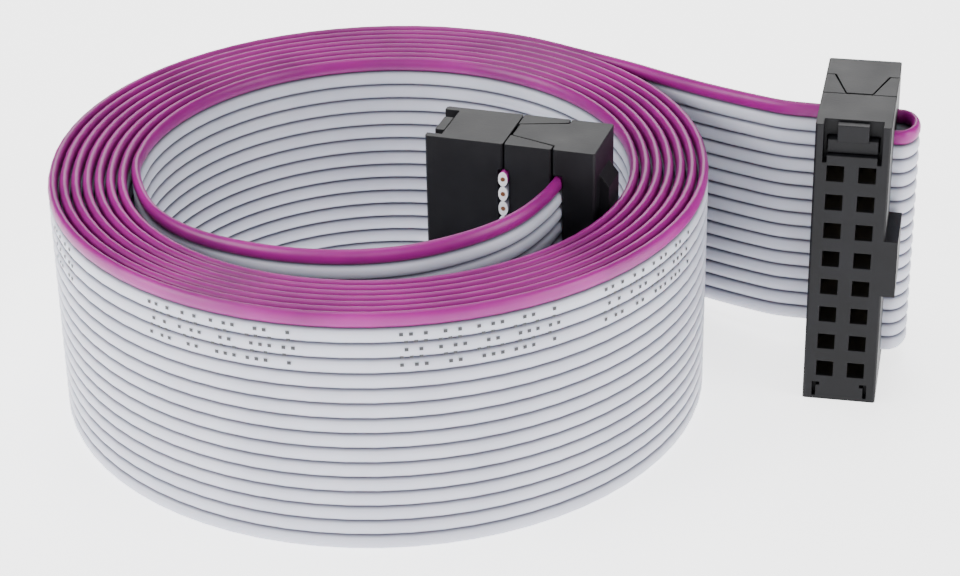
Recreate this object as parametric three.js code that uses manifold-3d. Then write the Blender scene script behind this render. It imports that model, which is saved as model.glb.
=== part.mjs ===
// A coiled 16-way flat ribbon cable with a 2 x 8 insulation-displacement socket at each end.
// Millimetres, +Z up, resting on Z = 0. The outer socket lies beside the coil, the inner one inside it.
import * as THREE from "three";
import { mergeVertices } from "three/addons/utils/BufferGeometryUtils.js";
import Module from "manifold-3d";

const wasm = await Module();
wasm.setup();

// ---- driving dimensions -------------------------------------------------
const CONDUCTOR_PITCH = 1.27;
const CONDUCTORS = 16;
const RIBBON_HEIGHT = CONDUCTOR_PITCH * CONDUCTORS;
const RIBBON_THICKNESS = 0.76;
const INDEX_GAP = 0.08;
const STRETCH_GAP = 0.3;

const SOCKET_LENGTH = 24.92;
const SOCKET_HALF_WIDTH = 3.0;
const HOUSING_DEPTH = 6.4;
const COVER_FRONT = 6.5;
const COVER_BACK = 10.32;
const CLIP_FRONT = 10.42;
const CLIP_BACK = 13.85;
const CLIP_RIB = 0.8;
const CONTACT_PITCH = 2.54;
const HOLE_HALF = 0.69;
const SEAM_DEPTH = 6.45;
const FOLD_DEPTH = 10.8;
const FOLD_BULGE = 1.35;

// Where the whole part sits on its own frame: the middle of its footprint is the origin.
const SHIFT_X = -8.54;
const SHIFT_Y = -2.669;

// The coil is a flattened spiral: radius and pitch change a little round the turn.
const COIL_X = -0.07;
const COIL_Y = 2.465;
const COIL_RADIUS = 27.43;
const COIL_OVAL = 0.4;
const COIL_PITCH = 0.95;
const COIL_PITCH_BACK = 0.12;
const COIL_START = 80;
const COIL_STEP = 10;
const COIL_SWEEP = 2610;

// ---- materials ----------------------------------------------------------
function plastic(color, roughness) {
  return new THREE.MeshStandardMaterial({ color, roughness, metalness: 0 });
}

function metal(color) {
  return new THREE.MeshStandardMaterial({ color, roughness: 0.3, metalness: 1 });
}

// ---- solids -------------------------------------------------------------
function toSolid(geometry) {
  const bare = geometry.clone();
  bare.deleteAttribute("normal");
  bare.deleteAttribute("uv");
  const merged = mergeVertices(bare, 1e-4);
  return new wasm.Manifold(
    new wasm.Mesh({
      numProp: 3,
      vertProperties: new Float32Array(merged.attributes.position.array),
      triVerts: new Uint32Array(merged.index.array),
    }),
  );
}

function toGeometry(solid) {
  const mesh = solid.getMesh();
  const geometry = new THREE.BufferGeometry();
  geometry.setAttribute("position", new THREE.BufferAttribute(mesh.vertProperties, 3));
  geometry.setIndex(new THREE.BufferAttribute(mesh.triVerts, 1));
  const flat = geometry.toNonIndexed();
  flat.computeVertexNormals();
  return flat;
}

function block(x0, x1, y0, y1, z0, z1) {
  const geometry = new THREE.BoxGeometry(x1 - x0, y1 - y0, z1 - z0);
  geometry.translate((x0 + x1) / 2, (y0 + y1) / 2, (z0 + z1) / 2);
  return toSolid(geometry);
}

function prism(outline, z0, z1) {
  const shape = new THREE.Shape(outline.map(([x, y]) => new THREE.Vector2(x, y)));
  const geometry = new THREE.ExtrudeGeometry(shape, { depth: z1 - z0, bevelEnabled: false });
  geometry.translate(0, 0, z0);
  return toSolid(geometry);
}

function chamferedPlan(y0, y1, cut) {
  const w = SOCKET_HALF_WIDTH;
  return [
    [-w + cut, y0],
    [w - cut, y0],
    [w, y0 + cut],
    [w, y1 - cut],
    [w - cut, y1],
    [-w + cut, y1],
    [-w, y1 - cut],
    [-w, y0 + cut],
  ];
}

// ---- ribbon -------------------------------------------------------------
// A path whose cross-section always stands upright, so the ribbon never twists.
class StandingPath extends THREE.Curve {
  constructor(points) {
    super();
    this.points = points;
  }
  getPoint(t, target = new THREE.Vector3()) {
    const last = this.points.length - 1;
    const i = Math.min(last - 1, Math.floor(t * last));
    return target.lerpVectors(this.points[i], this.points[i + 1], t * last - i);
  }
  getSpacedPoints() {
    return this.points;
  }
  computeFrenetFrames(steps) {
    const frames = { tangents: [], normals: [], binormals: [] };
    for (let i = 0; i <= steps; i++) {
      const before = this.points[Math.max(0, i - 1)];
      const after = this.points[Math.min(steps, i + 1)];
      const here = this.points[i];
      const into = here.clone().sub(before).setZ(0);
      const out = after.clone().sub(here).setZ(0);
      if (i === 0) into.copy(out);
      if (i === steps) out.copy(into);
      const tangent = into.normalize().add(out.normalize());
      const widen = 2 / tangent.length();
      tangent.normalize();
      frames.tangents.push(tangent);
      frames.normals.push(new THREE.Vector3(-tangent.y, tangent.x, 0).multiplyScalar(widen));
      frames.binormals.push(new THREE.Vector3(0, 0, 1));
    }
    return frames;
  }
}

function sweepBand(points, zLow, zHigh) {
  const half = RIBBON_THICKNESS / 2;
  const section = new THREE.Shape([
    new THREE.Vector2(-half, zLow),
    new THREE.Vector2(half, zLow),
    new THREE.Vector2(half, zHigh),
    new THREE.Vector2(-half, zHigh),
  ]);
  const steps = points.length - 1;
  const extrudePath = new StandingPath(points);
  const geometry = new THREE.ExtrudeGeometry(section, { steps, extrudePath, bevelEnabled: false });
  geometry.deleteAttribute("uv");
  return geometry;
}

function coilPoint(turned) {
  const azimuth = THREE.MathUtils.degToRad(COIL_START + turned);
  const oval = COIL_OVAL * Math.cos(2 * (azimuth - Math.PI / 2));
  const pitch = COIL_PITCH + COIL_PITCH_BACK * Math.sin(azimuth);
  const radius = COIL_RADIUS + oval - (pitch * turned) / 360;
  return new THREE.Vector3(
    COIL_X + radius * Math.cos(azimuth),
    COIL_Y + radius * Math.sin(azimuth),
    0,
  );
}

function coilPoints() {
  const points = [];
  for (let turned = 0; turned <= COIL_SWEEP; turned += COIL_STEP) points.push(coilPoint(turned));
  return points;
}

// Shorten a polyline at its start and end, so two stretches meet across a small gap.
function trimmed(points, atStart, atEnd) {
  const out = points.map((p) => p.clone());
  const last = out.length - 1;
  out[0].add(out[1].clone().sub(out[0]).setLength(atStart));
  out[last].add(out[last - 1].clone().sub(out[last]).setLength(atEnd));
  return out;
}

// The fold through a socket, in the socket's own frame: in over the cover, round its side, back in
// the seam. side is +1 where the fold goes round the keyed side, -1 where it goes round the other.
function foldPoints({ side, lift }) {
  const middle = (SEAM_DEPTH + FOLD_DEPTH) / 2;
  const radius = (FOLD_DEPTH - SEAM_DEPTH) / 2;
  const turnAt = SOCKET_HALF_WIDTH + 0.3;
  const points = [
    [-3.0, FOLD_DEPTH],
    [0, FOLD_DEPTH],
    [turnAt, FOLD_DEPTH],
  ];
  for (let i = 1; i < 8; i++) {
    const angle = Math.PI / 2 - (Math.PI * i) / 8;
    points.push([turnAt + FOLD_BULGE * Math.cos(angle), middle + radius * Math.sin(angle)]);
  }
  points.push([turnAt, SEAM_DEPTH], [0, SEAM_DEPTH], [-3.15, SEAM_DEPTH]);
  return points.map(([x, y]) => new THREE.Vector3(side * x, y, lift));
}

function smooth(points, perSpan) {
  const curve = new THREE.CatmullRomCurve3(points, false, "centripetal");
  const fine = curve.getPoints((points.length - 1) * perSpan);
  return fine.map((p) => p.setZ(Math.max(0, p.z)));
}

// A free stretch stays down for a while, then climbs smoothly to the height of its socket's seam.
function climbing(plan, lift, levelFor) {
  let total = 0;
  const reach = plan.map((p, i) => {
    if (i > 0) total += Math.hypot(p[0] - plan[i - 1][0], p[1] - plan[i - 1][1]);
    return total;
  });
  return plan.map(([x, y], i) => {
    const t = Math.max(0, reach[i] - levelFor) / (total - levelFor);
    return new THREE.Vector3(x, y, lift * t * t * (3 - 2 * t));
  });
}

// ---- sockets ------------------------------------------------------------
// lift is the height of the ribbon's lower edge in the seam; side is where the ribbon folds round.
const OUTER = { x: 37.5, y: -3.8, turn: -12, side: 1, lift: 1.65 };
const INNER = { x: 4.55, y: -1.29, turn: -107.6, side: -1, lift: 2.3 };

function socketMatrix(place) {
  const turn = new THREE.Matrix4().makeRotationZ(THREE.MathUtils.degToRad(place.turn));
  return turn.setPosition(place.x, place.y, 0);
}

const BAND_HALF = RIBBON_THICKNESS / 2 + 0.07;

function bandSlot(y0, y1, lift) {
  return block(-4, 4, y0, y1, lift - 0.1, lift + RIBBON_HEIGHT + 0.1);
}

function contactCentre(column, row, lift) {
  const z = lift + RIBBON_HEIGHT / 2 + (row - 3.5) * CONTACT_PITCH;
  return [(column * CONTACT_PITCH) / 2, z];
}

function housingSolid(lift) {
  const top = SOCKET_LENGTH;
  let body = prism(chamferedPlan(0, HOUSING_DEPTH, 0.15), 0, top);
  body = body.add(block(SOCKET_HALF_WIDTH - 0.2, 4.05, 0, 5.6, 10.0, 15.0));
  const cuts = [];
  for (const column of [-1, 1]) {
    for (let row = 0; row < 8; row++) {
      const [x, z] = contactCentre(column, row, lift);
      const shift = (-column * CONDUCTOR_PITCH) / 2;
      cuts.push(block(x - HOLE_HALF, x + HOLE_HALF, -1, 5.3, z - HOLE_HALF, z + HOLE_HALF));
      const low = z + Math.min(shift, 0) - 0.55;
      const high = z + Math.max(shift, 0) + 0.55;
      cuts.push(block(x - 0.25, x + 0.25, 5.0, 7, low, high));
    }
  }
  // The band of the ribbon lies in a shallow channel across the back face.
  cuts.push(bandSlot(SEAM_DEPTH - BAND_HALF, 7, lift));
  // Top latch: window, arm channel and its side slots.
  cuts.push(block(-2.35, 2.35, -1, 1.2, top - 2.67, top + 1));
  cuts.push(block(-2.35, -2.0, -1, 1.2, top - 3.3, top - 2));
  cuts.push(block(2.0, 2.35, -1, 1.2, top - 3.3, top - 2));
  cuts.push(block(-2.1, 2.1, 1, 4.9, top - 2.67, top - 1.35));
  cuts.push(block(-2.1, 2.1, 4.8, 7, top - 2.2, top - 1.35));
  // Bottom latch: a blind channel from the back, and two small hooked slots at the front.
  cuts.push(block(-2.1, 2.1, 1.9, 7, 0.5, 1.5));
  cuts.push(block(-2.25, -1.95, -1, 0.8, 0.3, 1.6));
  cuts.push(block(1.95, 2.25, -1, 0.8, 0.3, 1.6));
  cuts.push(block(-2.0, -1.65, -1, 0.8, 1.3, 1.6));
  cuts.push(block(1.65, 2.0, -1, 0.8, 1.3, 1.6));
  return cuts.reduce((solid, cut) => solid.subtract(cut), body);
}

function endTaper(wide, narrow, y0, y1, z0, z1) {
  return prism(
    [
      [-narrow, y0],
      [narrow, y0],
      [wide, y1],
      [-wide, y1],
    ],
    z0,
    z1,
  );
}

function coverSolid(lift) {
  const top = SOCKET_LENGTH;
  let body = prism(chamferedPlan(COVER_FRONT, COVER_BACK, 0.12), 0, top);
  body = body.subtract(bandSlot(6, SEAM_DEPTH + BAND_HALF, lift));
  body = body.subtract(endTaper(2.35, 1.05, 6.3, 10.5, top - 1.3, top + 1));
  body = body.subtract(endTaper(2.35, 1.05, 6.3, 10.5, -1, 0.42));
  // Latch arms reach forward through the housing; the top one ends in a hook.
  body = body.add(block(-2.0, 2.0, 0.45, 4.8, top - 2.57, top - 1.45));
  body = body.add(block(-2.0, 2.0, 4.7, 7.2, top - 2.1, top - 1.45));
  body = body.add(block(-1.25, 1.25, 0.3, 1.05, top - 1.6, top - 0.15));
  body = body.add(block(-2.0, 2.0, 2.0, 7.2, 0.6, 1.4));
  return body;
}

function clipSolid(lift) {
  const top = SOCKET_LENGTH;
  let body = prism(chamferedPlan(CLIP_FRONT, CLIP_BACK, 0.15), 0, top);
  body = body.subtract(bandSlot(9, FOLD_DEPTH + BAND_HALF, lift));
  body = body.add(endTaper(2.22, 1.05, 6.65, 10.6, top - 1.15, top));
  body = body.add(endTaper(2.22, 1.05, 6.65, 10.6, 0, 0.3));
  const back = CLIP_BACK + CLIP_RIB;
  const ridge = new THREE.Shape([
    new THREE.Vector2(13.6, 2.4),
    new THREE.Vector2(CLIP_BACK, 2.4),
    new THREE.Vector2(back, 3.4),
    new THREE.Vector2(back, top - 3.4),
    new THREE.Vector2(CLIP_BACK, top - 2.4),
    new THREE.Vector2(13.6, top - 2.4),
  ]);
  const ridgeGeometry = new THREE.ExtrudeGeometry(ridge, { depth: 3, bevelEnabled: false });
  // The profile is drawn in depth and height, so it is turned to stand across the clip.
  ridgeGeometry.applyMatrix4(
    new THREE.Matrix4().makeBasis(
      new THREE.Vector3(0, 1, 0),
      new THREE.Vector3(0, 0, 1),
      new THREE.Vector3(1, 0, 0),
    ),
  );
  ridgeGeometry.translate(-1.5, 0, 0);
  return body.add(toSolid(ridgeGeometry));
}

// A contact: two spring leaves in the hole, a base, and a forked tine behind it.
function contactSolid(column, row, lift) {
  const [x, z] = contactCentre(column, row, lift);
  const shift = (-column * CONDUCTOR_PITCH) / 2;
  const back = SEAM_DEPTH - BAND_HALF - 0.03;
  let body = block(x - 0.62, x - 0.37, 2.6, 5.0, z - 0.45, z + 0.45);
  body = body.add(block(x + 0.37, x + 0.62, 2.6, 5.0, z - 0.45, z + 0.45));
  body = body.add(block(x - 0.62, x + 0.62, 4.5, 5.0, z - 0.45, z + 0.45));
  const low = z + Math.min(shift, 0) - 0.45;
  const high = z + Math.max(shift, 0) + 0.45;
  body = body.add(block(x - 0.15, x + 0.15, 4.9, 5.25, z - 0.45, z + 0.45));
  body = body.add(block(x - 0.15, x + 0.15, 5.15, 5.5, low, high));
  const mid = z + shift;
  body = body.add(block(x - 0.15, x + 0.15, 5.4, back, mid - 0.45, mid - 0.15));
  body = body.add(block(x - 0.15, x + 0.15, 5.4, back, mid + 0.15, mid + 0.45));
  return body;
}

// ---- assembly -----------------------------------------------------------
const part = new THREE.Group();
part.name = "coiled_ribbon_cable";

function addMesh(parent, name, geometry, material) {
  const mesh = new THREE.Mesh(geometry, material);
  mesh.name = name;
  parent.add(mesh);
}

const whole = new THREE.Group();
whole.position.set(SHIFT_X, SHIFT_Y, 0);
part.add(whole);

function addSocket(prefix, place) {
  const group = new THREE.Group();
  group.applyMatrix4(socketMatrix(place));
  whole.add(group);
  const { lift } = place;
  addMesh(group, `${prefix}_housing`, toGeometry(housingSolid(lift)), plastic("#1d1d1f", 0.5));
  addMesh(group, `${prefix}_cover`, toGeometry(coverSolid(lift)), plastic("#1b1b1d", 0.5));
  addMesh(group, `${prefix}_strain_relief`, toGeometry(clipSolid(lift)), plastic("#1e1e20", 0.5));
  for (let row = 0; row < 8; row++) {
    for (const column of [-1, 1]) {
      const number = row * 2 + (column + 3) / 2;
      const name = `${prefix}_contact_${String(number).padStart(2, "0")}`;
      addMesh(group, name, toGeometry(contactSolid(column, row, lift)), metal("#c9b27a"));
    }
  }
}

function addRibbon(suffix, points) {
  const split = RIBBON_HEIGHT - CONDUCTOR_PITCH;
  const grey = plastic("#b9bcc6", 0.45);
  const magenta = plastic("#c0267a", 0.45);
  addMesh(whole, `ribbon_${suffix}`, sweepBand(points, 0, split - INDEX_GAP), grey);
  addMesh(whole, `index_wire_${suffix}`, sweepBand(points, split, RIBBON_HEIGHT), magenta);
}

function inPlan(points, place) {
  return points.map((p) => p.clone().applyMatrix4(socketMatrix(place)));
}

// Hand-placed plan points of the stretches that are not coiled. The outer turn lies against the
// coil, the tail springs away from it, and FLEX_SPAN is the tail's span where it flexes.
const OUTER_TURN_PLAN = [
  [12.5, 27.1],
  [9.9, 28.35],
  [7.5, 29.12],
];
const TAIL_PLAN = [
  [15.05, 25.45],
  [18.3, 22.9],
  [21.4, 20.05],
  [24.55, 16.55],
  [27.65, 13.3],
  [30.85, 10.45],
  [33.6, 8.5],
];
const TAIL_LEVEL = 0;
const FLEX_SPAN = 4;
const LEAD_PLAN = [
  [-20.1, 2.3],
  [-19.3, -2.2],
  [-17.6, -6.6],
  [-14.6, -10.3],
  [-10.7, -13.2],
  [-5.9, -15.6],
  [-1.2, -16.85],
  [3.4, -16.8],
  [8.1, -15.0],
  [10.9, -12.7],
  [12.95, -9.6],
];
const LEAD_LEVEL = 15;
const STEPS_PER_SPAN = 2;

const turns = coilPoints();
const turnsLast = turns[turns.length - 1];
const outerFold = inPlan(foldPoints(OUTER), OUTER);
const innerFold = inPlan(foldPoints(INNER), INNER);

const tailPlan = [...TAIL_PLAN, [outerFold[0].x, outerFold[0].y]];
const leadPlan = [[turnsLast.x, turnsLast.y], ...LEAD_PLAN, [innerFold[0].x, innerFold[0].y]];
const outward = smooth(climbing(tailPlan, OUTER.lift, TAIL_LEVEL), STEPS_PER_SPAN);
const flexAt = FLEX_SPAN * STEPS_PER_SPAN;
const outerTurn = OUTER_TURN_PLAN.map(([x, y]) => new THREE.Vector3(x, y, 0));
const coil = [...outward.slice(0, flexAt + 1).reverse(), ...outerTurn, ...turns];
const tail = [...outward.slice(flexAt), ...outerFold.slice(1)];
const inward = smooth(climbing(leadPlan, INNER.lift, LEAD_LEVEL), STEPS_PER_SPAN);
const lead = [...inward, ...innerFold.slice(1)];

addRibbon("coil", coil);
addRibbon("tail", trimmed(tail, STRETCH_GAP, 0));
addRibbon("lead", trimmed(lead, STRETCH_GAP, 0));
addSocket("outer_socket", OUTER);
addSocket("inner_socket", INNER);

export default part;
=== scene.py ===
import math
from collections import namedtuple

import bpy
from mathutils import Matrix, Vector


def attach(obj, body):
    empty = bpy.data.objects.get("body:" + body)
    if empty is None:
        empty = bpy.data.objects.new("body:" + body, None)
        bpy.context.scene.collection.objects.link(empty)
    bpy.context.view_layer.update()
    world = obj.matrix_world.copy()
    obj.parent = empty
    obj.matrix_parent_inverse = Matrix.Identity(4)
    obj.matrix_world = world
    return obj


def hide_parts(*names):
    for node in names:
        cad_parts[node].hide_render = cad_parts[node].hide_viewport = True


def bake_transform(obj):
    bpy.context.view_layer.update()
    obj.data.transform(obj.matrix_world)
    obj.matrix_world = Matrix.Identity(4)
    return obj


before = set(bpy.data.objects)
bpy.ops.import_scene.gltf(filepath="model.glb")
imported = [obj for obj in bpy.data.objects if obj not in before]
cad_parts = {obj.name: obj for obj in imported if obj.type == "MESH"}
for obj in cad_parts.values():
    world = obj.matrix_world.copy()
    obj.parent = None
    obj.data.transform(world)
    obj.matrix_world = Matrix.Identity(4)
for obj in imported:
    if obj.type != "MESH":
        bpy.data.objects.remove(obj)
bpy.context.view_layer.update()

MM = 0.001

# ---- dimensions, in millimetres, the same as the CAD's ----
PITCH = 1.27
CONDUCTORS = 16
HEIGHT = PITCH * CONDUCTORS
SEAM_DEPTH = 6.45
FOLD_DEPTH = 10.8
FOLD_BULGE = 1.35
HALF_WIDTH = 3.0
FOLD_CLEARANCE = 0.3
FOLD_STEPS = 16
CUT_REACH = 3.2
SHIFT = (-8.54, -2.669)
# Turn is in degrees, side is the one the ribbon folds round, lift is the ribbon's height in the seam.
Socket = namedtuple("Socket", "x y turn side lift")
OUTER = Socket(37.5, -3.8, -12.0, 1, 1.65)
INNER = Socket(4.55, -1.29, -107.6, -1, 2.3)

COIL_CENTRE = (-0.07, 2.465)
COIL_RADIUS = 27.43
COIL_OVAL = 0.4
COIL_PITCH = 0.95
COIL_PITCH_BACK = 0.12
COIL_START = 80
COIL_SWEEP = 2610
COIL_STEP = 5
BACK_FLARE = 0.058
# How far along each free stretch the ribbon stays level before it climbs to its socket.
TAIL_LEVEL = 0
LEAD_LEVEL = 15

# ---- one conductor's section ----
SECTION_POINTS = 14
HALF_THICK = 0.385
HALF_HIGH = 0.64
# Where the painted groove shade begins, as a share of a conductor's half height.
GROOVE_SHADE_START = 0.6

# ---- cut strands and printed dots ----
STRAND_POINTS = 8
STRAND_RADIUS = 0.19
STRAND_INSIDE = 0.35
STRAND_PROUD = 0.03
MARK_GROUPS = ((199, 211), (232, 258), (274, 300), (309, 334))
MARK_LINES = 5
MARK_FIRST_LINE = 12.62
MARK_LINE_STEP = 0.5
MARK_STEP = 0.75
MARK_WIDTH = 0.6
MARK_HALF_HIGH = 0.14
MARK_PROUD = 0.012
# A dot sits at most this share of a pitch from its conductor's middle.
MARK_REACH = 0.4

TAIL_PLAN = [
    (15.05, 25.45),
    (18.3, 22.9),
    (21.4, 20.05),
    (24.55, 16.55),
    (27.65, 13.3),
    (30.85, 10.45),
    (33.6, 8.5),
]
OUTER_TURN_PLAN = [(12.5, 27.1), (9.9, 28.35), (7.5, 29.12)]
LEAD_PLAN = [
    (-20.1, 2.3),
    (-19.3, -2.2),
    (-17.6, -6.6),
    (-14.6, -10.3),
    (-10.7, -13.2),
    (-5.9, -15.6),
    (-1.2, -16.85),
    (3.4, -16.8),
    (8.1, -15.0),
    (10.9, -12.7),
    (12.95, -9.6),
]


# ---- the ribbon's route: (x, y, lift, flare) in millimetres, from the outer cut end inwards ----
def place(socket, x, y):
    turn = math.radians(socket.turn)
    return (
        socket.x + x * math.cos(turn) - y * math.sin(turn),
        socket.y + x * math.sin(turn) + y * math.cos(turn),
    )


def fold(socket):
    """From the end of the clip's gap, round the socket's side, to the cut end in the seam."""
    middle = (SEAM_DEPTH + FOLD_DEPTH) / 2
    radius = (FOLD_DEPTH - SEAM_DEPTH) / 2
    turn_at = HALF_WIDTH + FOLD_CLEARANCE
    local = [(x, FOLD_DEPTH) for x in (-3.0, -1.5, 0.0, 1.5)]
    for i in range(FOLD_STEPS + 1):
        angle = math.pi / 2 - math.pi * i / FOLD_STEPS
        local.append((turn_at + FOLD_BULGE * math.cos(angle), middle + radius * math.sin(angle)))
    local += [(x, SEAM_DEPTH) for x in (1.5, 0.0, -1.5, -CUT_REACH)]
    return [place(socket, socket.side * x, y) for x, y in local]


def coil_point(turned):
    """A point of the slightly oval spiral, after so many degrees from its outer end."""
    azimuth = math.radians(COIL_START + turned)
    oval = COIL_OVAL * math.cos(2 * (azimuth - math.pi / 2))
    pitch = COIL_PITCH + COIL_PITCH_BACK * math.sin(azimuth)
    radius = COIL_RADIUS + oval - pitch * turned / 360
    return (
        COIL_CENTRE[0] + radius * math.cos(azimuth),
        COIL_CENTRE[1] + radius * math.sin(azimuth),
    )


def smooth(points, per_span):
    """A centripetal Catmull-Rom line through the points."""
    out = []
    for i in range(len(points) - 1):
        p1, p2 = Vector(points[i]), Vector(points[i + 1])
        p0 = Vector(points[i - 1]) if i else p1 * 2 - p2
        p3 = Vector(points[i + 2]) if i + 2 < len(points) else p2 * 2 - p1
        t1 = (p1 - p0).length ** 0.5
        t2 = t1 + (p2 - p1).length ** 0.5
        t3 = t2 + (p3 - p2).length ** 0.5
        for j in range(per_span):
            t = t1 + (t2 - t1) * j / per_span
            a1 = p0 * ((t1 - t) / t1) + p1 * (t / t1)
            a2 = p1 * ((t2 - t) / (t2 - t1)) + p2 * ((t - t1) / (t2 - t1))
            a3 = p2 * ((t3 - t) / (t3 - t2)) + p3 * ((t - t2) / (t3 - t2))
            b1 = a1 * ((t2 - t) / t2) + a2 * (t / t2)
            b2 = a2 * ((t3 - t) / (t3 - t1)) + a3 * ((t - t1) / (t3 - t1))
            out.append(tuple(b1 * ((t2 - t) / (t2 - t1)) + b2 * ((t - t1) / (t2 - t1))))
    out.append(tuple(points[-1]))
    return out


def back_flare(x, y):
    """The turns lean outwards at the back of the coil only."""
    dx, dy = x - COIL_CENTRE[0], y - COIL_CENTRE[1]
    return BACK_FLARE * max(0.0, dy / math.hypot(dx, dy))


def with_climb(points, socket, level_for):
    """Points from the coil to a socket, with the ribbon's lift and flare along them."""
    reach = [0.0]
    for a, b in zip(points, points[1:]):
        reach.append(reach[-1] + math.dist(a, b))
    flare = back_flare(*points[0])
    out = []
    for p, r in zip(points, reach):
        t = max(0.0, r - level_for) / (reach[-1] - level_for)
        ease = t * t * (3 - 2 * t)
        out.append((p[0], p[1], socket.lift * ease, flare * (1 - r / reach[-1])))
    return out


def ribbon_route():
    """From the cut end in the outer socket to the one in the inner socket."""
    outer = fold(OUTER)
    inner = fold(INNER)
    tail = with_climb(smooth(TAIL_PLAN + [outer[0]], 6), OUTER, TAIL_LEVEL)
    coil = [coil_point(turned) for turned in range(0, COIL_SWEEP + 1, COIL_STEP)]
    against = smooth([TAIL_PLAN[0]] + OUTER_TURN_PLAN + [coil[0]], 4)[1:-1]
    lead = with_climb(smooth([coil[-1]] + LEAD_PLAN + [inner[0]], 6), INNER, LEAD_LEVEL)
    route = [(x, y, OUTER.lift, 0.0) for x, y in reversed(outer[1:])]
    route += list(reversed(tail))
    route += [(x, y, 0.0, back_flare(x, y)) for x, y in against + coil[:-1]]
    route += lead
    route += [(x, y, INNER.lift, 0.0) for x, y in inner[1:]]
    return route


def outward_normals(route):
    normals = []
    for i in range(len(route)):
        a = route[max(0, i - 1)]
        b = route[min(len(route) - 1, i + 1)]
        dx, dy = b[0] - a[0], b[1] - a[1]
        size = math.hypot(dx, dy)
        normals.append((dy / size, -dx / size))
    return normals


# ---- materials ----
def new_material(name):
    material = bpy.data.materials.new(name)
    material.use_nodes = True
    tree = material.node_tree
    return material, tree, tree.nodes["Principled BSDF"]


def add_node(tree, kind, **values):
    node = tree.nodes.new(kind)
    for key, value in values.items():
        if hasattr(node, key):
            setattr(node, key, value)
        else:
            node.inputs[key].default_value = value
    return node


def noise(tree, where, scale, detail):
    node = add_node(tree, "ShaderNodeTexNoise", Scale=scale, Detail=detail)
    tree.links.new(where.outputs["Object"], node.inputs["Vector"])
    return node


def two_tone(tree, source, *stops):
    """A ramp between two (position, colour) stops, driven by a noise."""
    ramp = add_node(tree, "ShaderNodeValToRGB")
    for element, (position, colour) in zip(ramp.color_ramp.elements, stops):
        element.position = position
        element.color = (*colour, 1)
    tree.links.new(source.outputs["Fac"], ramp.inputs["Fac"])
    return ramp


def insulation(name, colour, darker, painted_groove_shade_colour):
    """Soft PVC: nearly even colour, fine grain, a satin sheen, and painted shade that darkens the
    webs between wires.
    """
    material, tree, shader = new_material(name)
    shader.inputs["Roughness"].default_value = 0.42
    shader.inputs["Specular IOR Level"].default_value = 0.36
    shader.inputs["Subsurface Weight"].default_value = 0.12
    shader.inputs["Subsurface Scale"].default_value = 0.0006
    where = add_node(tree, "ShaderNodeTexCoord")
    cloud = noise(tree, where, 160.0, 3.0)
    ramp = two_tone(tree, cloud, (0.3, darker), (0.7, colour))
    # Painted shade: the colour darkens towards the webs between wires, standing in for the shade held
    # in the grooves.
    painted_groove_shade = add_node(tree, "ShaderNodeAttribute", attribute_name="painted_groove_shade")
    mix = tree.nodes.new("ShaderNodeMix")
    mix.data_type = "RGBA"
    mix.inputs["B"].default_value = (*painted_groove_shade_colour, 1)
    tree.links.new(painted_groove_shade.outputs["Fac"], mix.inputs["Factor"])
    tree.links.new(ramp.outputs["Color"], mix.inputs["A"])
    tree.links.new(mix.outputs["Result"], shader.inputs["Base Color"])
    grain = noise(tree, where, 2500.0, 2.0)
    bump = add_node(tree, "ShaderNodeBump", Strength=0.12, Distance=0.00003)
    tree.links.new(grain.outputs["Fac"], bump.inputs["Height"])
    tree.links.new(bump.outputs["Normal"], shader.inputs["Normal"])
    return material


def moulded_plastic(name):
    """Black moulded plastic: fine grain, softened edges, slightly uneven shine."""
    material, tree, shader = new_material(name)
    shader.inputs["Specular IOR Level"].default_value = 0.2
    where = add_node(tree, "ShaderNodeTexCoord")
    cloud = noise(tree, where, 350.0, 5.0)
    ramp = two_tone(tree, cloud, (0.35, (0.002, 0.002, 0.003)), (0.8, (0.006, 0.006, 0.008)))
    tree.links.new(ramp.outputs["Color"], shader.inputs["Base Color"])
    rough = add_node(tree, "ShaderNodeMapRange")
    rough.inputs["To Min"].default_value = 0.42
    rough.inputs["To Max"].default_value = 0.58
    tree.links.new(cloud.outputs["Fac"], rough.inputs["Value"])
    tree.links.new(rough.outputs["Result"], shader.inputs["Roughness"])
    grain = noise(tree, where, 4500.0, 2.0)
    soft = add_node(tree, "ShaderNodeBevel", Radius=0.00012)
    soft.samples = 6
    bump = add_node(tree, "ShaderNodeBump", Strength=0.25, Distance=0.00002)
    tree.links.new(grain.outputs["Fac"], bump.inputs["Height"])
    tree.links.new(soft.outputs["Normal"], bump.inputs["Normal"])
    tree.links.new(bump.outputs["Normal"], shader.inputs["Normal"])
    return material


def plain(name, colour, roughness, metallic=0.0):
    material, tree, shader = new_material(name)
    shader.inputs["Base Color"].default_value = (*colour, 1)
    shader.inputs["Roughness"].default_value = roughness
    shader.inputs["Metallic"].default_value = metallic
    return material


# The last colour of each is painted shade for the grooves between wires.
GREY = insulation("grey_look", (0.50, 0.51, 0.59), (0.44, 0.45, 0.53), (0.09, 0.09, 0.13))
MAGENTA = insulation("magenta_look", (0.25, 0.0006, 0.17), (0.165, 0.0003, 0.115), (0.10, 0.0, 0.06))
BLACK = moulded_plastic("black_plastic_look")
CONTACT = plain("contact_metal_look", (0.55, 0.47, 0.32), 0.35, 1.0)
CUT_END = plain("cut_end_look", (0.72, 0.72, 0.74), 0.5)
COPPER = plain("copper_look", (0.30, 0.13, 0.07), 0.4, 1.0)
INK = plain("ink_look", (0.03, 0.03, 0.035), 0.6)
FLOOR = plain("floor_look", (0.95, 0.95, 0.95), 0.6)
floor_shader = FLOOR.node_tree.nodes["Principled BSDF"]
floor_shader.inputs["Emission Color"].default_value = (1, 1, 1, 1)
floor_shader.inputs["Emission Strength"].default_value = 2.2


# ---- geometry ----
def row(x, y, z):
    """Plan millimetres to metres in the row frame."""
    return ((x + SHIFT[0]) * MM, (y + SHIFT[1]) * MM, z * MM)


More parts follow.
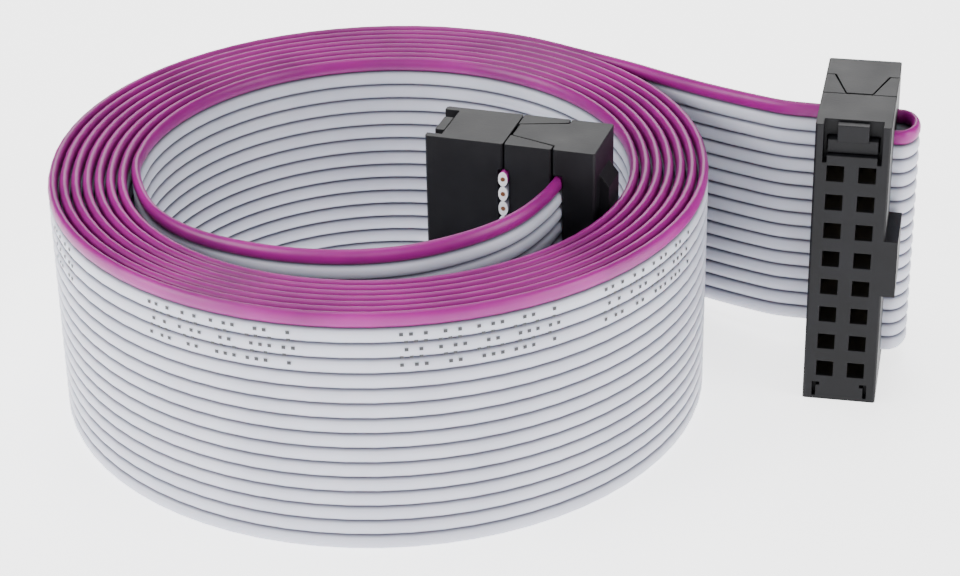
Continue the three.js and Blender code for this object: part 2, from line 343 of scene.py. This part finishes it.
def add_object(name, vertices, faces, materials):
    mesh = bpy.data.meshes.new(name)
    mesh.from_pydata(vertices, [], faces)
    for material in materials:
        mesh.materials.append(material)
    mesh.validate()
    obj = bpy.data.objects.new(name, mesh)
    bpy.context.scene.collection.objects.link(obj)
    return obj


def section():
    """One conductor's outline: nearly round, flattened where it joins its neighbours."""
    out = []
    for i in range(SECTION_POINTS):
        angle = 2 * math.pi * (i + 0.5) / SECTION_POINTS
        c, s = math.cos(angle), math.sin(angle)
        out.append((
            HALF_THICK * math.copysign(abs(c) ** 1.05, c),
            HALF_HIGH * math.copysign(abs(s) ** 0.95, s),
        ))
    return out


def painted_groove_shade_mask(index, outline):
    """How far each outline point lies in a web, which sets its painted shade: the outermost
    conductors have a web on one side.
    """
    below = 0 if index == 0 else 1
    above = 0 if index == CONDUCTORS - 1 else 1
    depth = []
    for _, b in outline:
        share = max(0.0, abs(b) / HALF_HIGH - GROOVE_SHADE_START) / (1 - GROOVE_SHADE_START)
        depth.append(share * (above if b > 0 else below))
    return depth


def conductor(index, route, normals):
    """One conductor swept along the route, and the line through its middle."""
    outline = section()
    vertices, centre = [], []
    for (x, y, lift, flare), (nx, ny) in zip(route, normals):
        z = (index + 0.5) * PITCH
        out = flare * (z - HEIGHT / 2)
        centre.append(row(x + nx * out, y + ny * out, lift + z))
        for a, b in outline:
            away = flare * (z + b - HEIGHT / 2) + a
            vertices.append(row(x + nx * away, y + ny * away, lift + z + b))
    n = SECTION_POINTS
    faces = []
    for i in range(len(route) - 1):
        for j in range(n):
            k = (j + 1) % n
            faces.append((i * n + j, i * n + k, (i + 1) * n + k, (i + 1) * n + j))
    last = (len(route) - 1) * n
    faces.append(tuple(reversed(range(n))))
    faces.append(tuple(last + j for j in range(n)))
    look = MAGENTA if index == CONDUCTORS - 1 else GREY
    obj = add_object(f"conductor_{index + 1:02d}", vertices, faces, [look, CUT_END])
    mesh = obj.data
    # Painted shade: a per-point mask that darkens the grooves between wires.
    painted_groove_shade = mesh.attributes.new("painted_groove_shade", "FLOAT", "POINT")
    painted_groove_shade.data.foreach_set("value", painted_groove_shade_mask(index, outline) * len(route))
    for polygon in mesh.polygons:
        polygon.use_smooth = len(polygon.vertices) == 4
        if len(polygon.vertices) > 4:
            polygon.material_index = 1
    return obj, centre


route = ribbon_route()
normals = outward_normals(route)
RIBBON_NODES = [
    f"{kind}_{part}"
    for kind in ("ribbon", "index_wire")
    for part in ("coil", "tail", "lead")
]
inner_gap = row(*fold(INNER)[0], INNER.lift + HEIGHT / 2)
for index in range(CONDUCTORS):
    obj, centre = conductor(index, route, normals)
    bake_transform(obj)
    top = index == CONDUCTORS - 1
    if index == 0:
        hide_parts(*[n for n in RIBBON_NODES if n.startswith("ribbon")])
    if top:
        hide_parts(*[n for n in RIBBON_NODES if n.startswith("index")])


def strands(name, socket, body):
    """The cut copper strands, showing in the seam at each conductor's cut end."""
    vertices, faces = [], []
    n = STRAND_POINTS
    x = -socket.side * CUT_REACH
    for index in range(CONDUCTORS):
        z = socket.lift + (index + 0.5) * PITCH
        start = len(vertices)
        for out in (-STRAND_INSIDE, STRAND_PROUD):
            for j in range(n):
                angle = 2 * math.pi * j / n
                across = SEAM_DEPTH + STRAND_RADIUS * math.cos(angle)
                px, py = place(socket, x - socket.side * out, across)
                vertices.append(row(px, py, z + STRAND_RADIUS * math.sin(angle)))
        for j in range(n):
            k = (j + 1) % n
            faces.append((start + j, start + k, start + n + k, start + n + j))
        faces.append(tuple(start + n + j for j in range(n)))
        faces.append(tuple(start + j for j in reversed(range(n))))
    obj = add_object(name, vertices, faces, [COPPER])
    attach(obj, body)


strands("outer_cut_strands", OUTER, "tail")
strands("inner_cut_strands", INNER, "coil")


def mark(azimuth, z, proud):
    """The four corners of one dot, just outside the outermost turn."""
    corners = []
    high = MARK_HALF_HIGH
    for turn, up in ((0, -high), (MARK_WIDTH, -high), (MARK_WIDTH, high), (0, high)):
        x, y = coil_point(azimuth + turn - COIL_START)
        dx, dy = x - COIL_CENTRE[0], y - COIL_CENTRE[1]
        size = math.hypot(dx, dy)
        corners.append(row(x + dx / size * proud, y + dy / size * proud, z + up))
    return corners


def left_blank(step, line):
    """Breaks the dots up into irregular groups, so that they form no letters."""
    return (step * 3 + line * 2) % 7 > 2 or step % 8 > 5


def print_marks():
    """Groups of ink dots on the outermost turn, where such a cable carries its rating."""
    vertices, faces = [], []
    for first, last in MARK_GROUPS:
        azimuth = float(first)
        step = 0
        while azimuth < last:
            for line in range(MARK_LINES):
                z = (MARK_FIRST_LINE + MARK_LINE_STEP * line) * PITCH
                across = abs((z / PITCH) % 1 - 0.5)
                if left_blank(step, line) or across > MARK_REACH:
                    continue
                proud = HALF_THICK * max(0.0, 1 - (2 * across) ** 2.2) ** 0.5 + MARK_PROUD
                start = len(vertices)
                vertices += mark(azimuth, z, proud)
                faces.append((start, start + 1, start + 2, start + 3))
            azimuth += MARK_STEP
            step += 1
    obj = add_object("print_marks", vertices, faces, [INK])
    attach(obj, "coil")


print_marks()

for name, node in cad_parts.items():
    if name in RIBBON_NODES:
        continue
    node.data.materials.clear()
    node.data.materials.append(CONTACT if "contact" in name else BLACK)

# ---- floor, light and camera ----
floor = add_object(
    "floor",
    [(-2, -2, 0), (2, -2, 0), (2, 2, 0), (-2, 2, 0)],
    [(0, 1, 2, 3)],
    [FLOOR],
)

world = bpy.data.worlds.new("studio")
bpy.context.scene.world = world
world.use_nodes = True
world.node_tree.nodes["Background"].inputs["Color"].default_value = (1, 1, 1, 1)
world.node_tree.nodes["Background"].inputs["Strength"].default_value = 0.1


def area_light(name, position, target, size, watts):
    data = bpy.data.lights.new(name, "AREA")
    data.size = size
    data.energy = watts
    obj = bpy.data.objects.new(name, data)
    bpy.context.scene.collection.objects.link(obj)
    obj.location = position
    obj.rotation_euler = (Vector(target) - Vector(position)).to_track_quat("-Z", "Y").to_euler()


area_light("overhead", (-0.05, 0.0, 0.5), (0, 0, 0), 0.4, 2.6)
area_light("front", (-0.1, -0.6, 0.16), (0, 0, 0.01), 0.4, 1.6)
area_light("left", (-0.45, -0.15, 0.16), (0, 0, 0.01), 0.3, 3.3)
area_light("right", (0.45, -0.2, 0.16), (0, 0, 0.01), 0.3, 2.5)
area_light("behind", (0.05, 0.6, 0.36), (0, 0, 0.01), 0.45, 3.2)

CAMERA_LENS = 95.74
CAMERA_PLACE = (7.8, -188.0, 107.2)
CAMERA_DOWN = 27.55
CAMERA_ROLL = -0.98
camera_data = bpy.data.cameras.new("camera")
camera_data.lens = CAMERA_LENS
camera_data.sensor_width = 36
camera_data.clip_start = 0.01
camera = bpy.data.objects.new("camera", camera_data)
bpy.context.scene.collection.objects.link(camera)
camera.matrix_world = (
    Matrix.Translation(row(*CAMERA_PLACE))
    @ Matrix.Rotation(math.radians(90 - CAMERA_DOWN), 4, "X")
    @ Matrix.Rotation(math.radians(CAMERA_ROLL), 4, "Z")
)
bpy.context.scene.camera = camera
